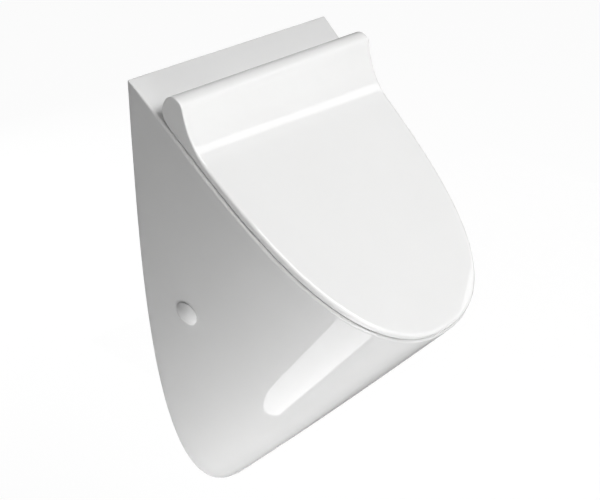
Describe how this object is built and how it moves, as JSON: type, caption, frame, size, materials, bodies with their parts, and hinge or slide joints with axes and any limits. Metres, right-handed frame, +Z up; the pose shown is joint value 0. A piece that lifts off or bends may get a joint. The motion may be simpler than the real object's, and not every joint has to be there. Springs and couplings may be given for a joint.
{
  "type": "wall hung urinal",
  "caption": "Wall hung ceramic urinal: slanted wedge body, hinged lid with a rolled grip bar, concealed inlet and waste, lift-out strainer and side fixings under round caps.",
  "frame": {"origin": "centre of the four wall screws, on the wall plane", "axes": "+Z up, +Y into the wall, the urinal faces -Y, +X to the right seen from the front"},
  "size_m": [0.3164, 0.3336, 0.6182],
  "materials": {
    "ceramic": "gloss",
    "lid_plastic": "gloss",
    "cap_plastic": "gloss",
    "nylon": "satin",
    "chrome": "polished",
    "stainless": "satin",
    "galvanised": "galvanised",
    "rubber": "matte",
    "pipe_plastic": "satin",
    "brass": "machined"
  },
  "bodies": {
    "urinal": {"ceramic_body": "ceramic", "hinge_post_left": "chrome", "hinge_post_right": "chrome", "hinge_pin_left": "stainless", "hinge_pin_right": "stainless", "hinge_gasket_left": "rubber", "hinge_gasket_right": "rubber", "hinge_bolt_left": "stainless", "hinge_bolt_right": "stainless", "expansion_plug_left": "rubber", "expansion_plug_right": "rubber", "expansion_nut_left": "brass", "expansion_nut_right": "brass", "wall_bracket_left": "galvanised", "wall_bracket_right": "galvanised", "screw_sleeve_left": "nylon", "screw_sleeve_right": "nylon", "side_screw_left": "stainless", "side_screw_right": "stainless", "cover_cap_left": "cap_plastic", "cover_cap_right": "cap_plastic", "inlet_connector": "chrome", "inlet_seal": "rubber", "spreader_gasket": "rubber", "spreader": "chrome", "waste_flange": "stainless", "waste_seal_top": "rubber", "waste_seal_bottom": "rubber", "waste_nut": "pipe_plastic", "waste_elbow": "pipe_plastic", "elbow_seal": "rubber", "trap_body": "pipe_plastic", "trap_dip_tube": "pipe_plastic", "trap_port_seal": "rubber", "trap_cap": "pipe_plastic", "outlet_socket": "pipe_plastic", "outlet_lip_seal": "rubber"},
    "lid": {"lid": "lid_plastic", "lid_buffers": "rubber", "lid_damper_left": "nylon", "lid_damper_right": "nylon", "hinge_bush_left": "nylon", "hinge_bush_right": "nylon"},
    "strainer": {"strainer": "chrome"}
  },
  "joints": [
    {"name": "lid_hinge", "type": "hinge", "parent": "urinal", "child": "lid", "pos_m": [0, -0.06693, 0.25272], "axis": [-1, 0, 0], "range_deg": [0, 132]},
    {"name": "strainer_lift", "type": "slide", "parent": "urinal", "child": "strainer", "axis": [0, 0, 1], "range_m": [0, 0.06]}
  ]
}
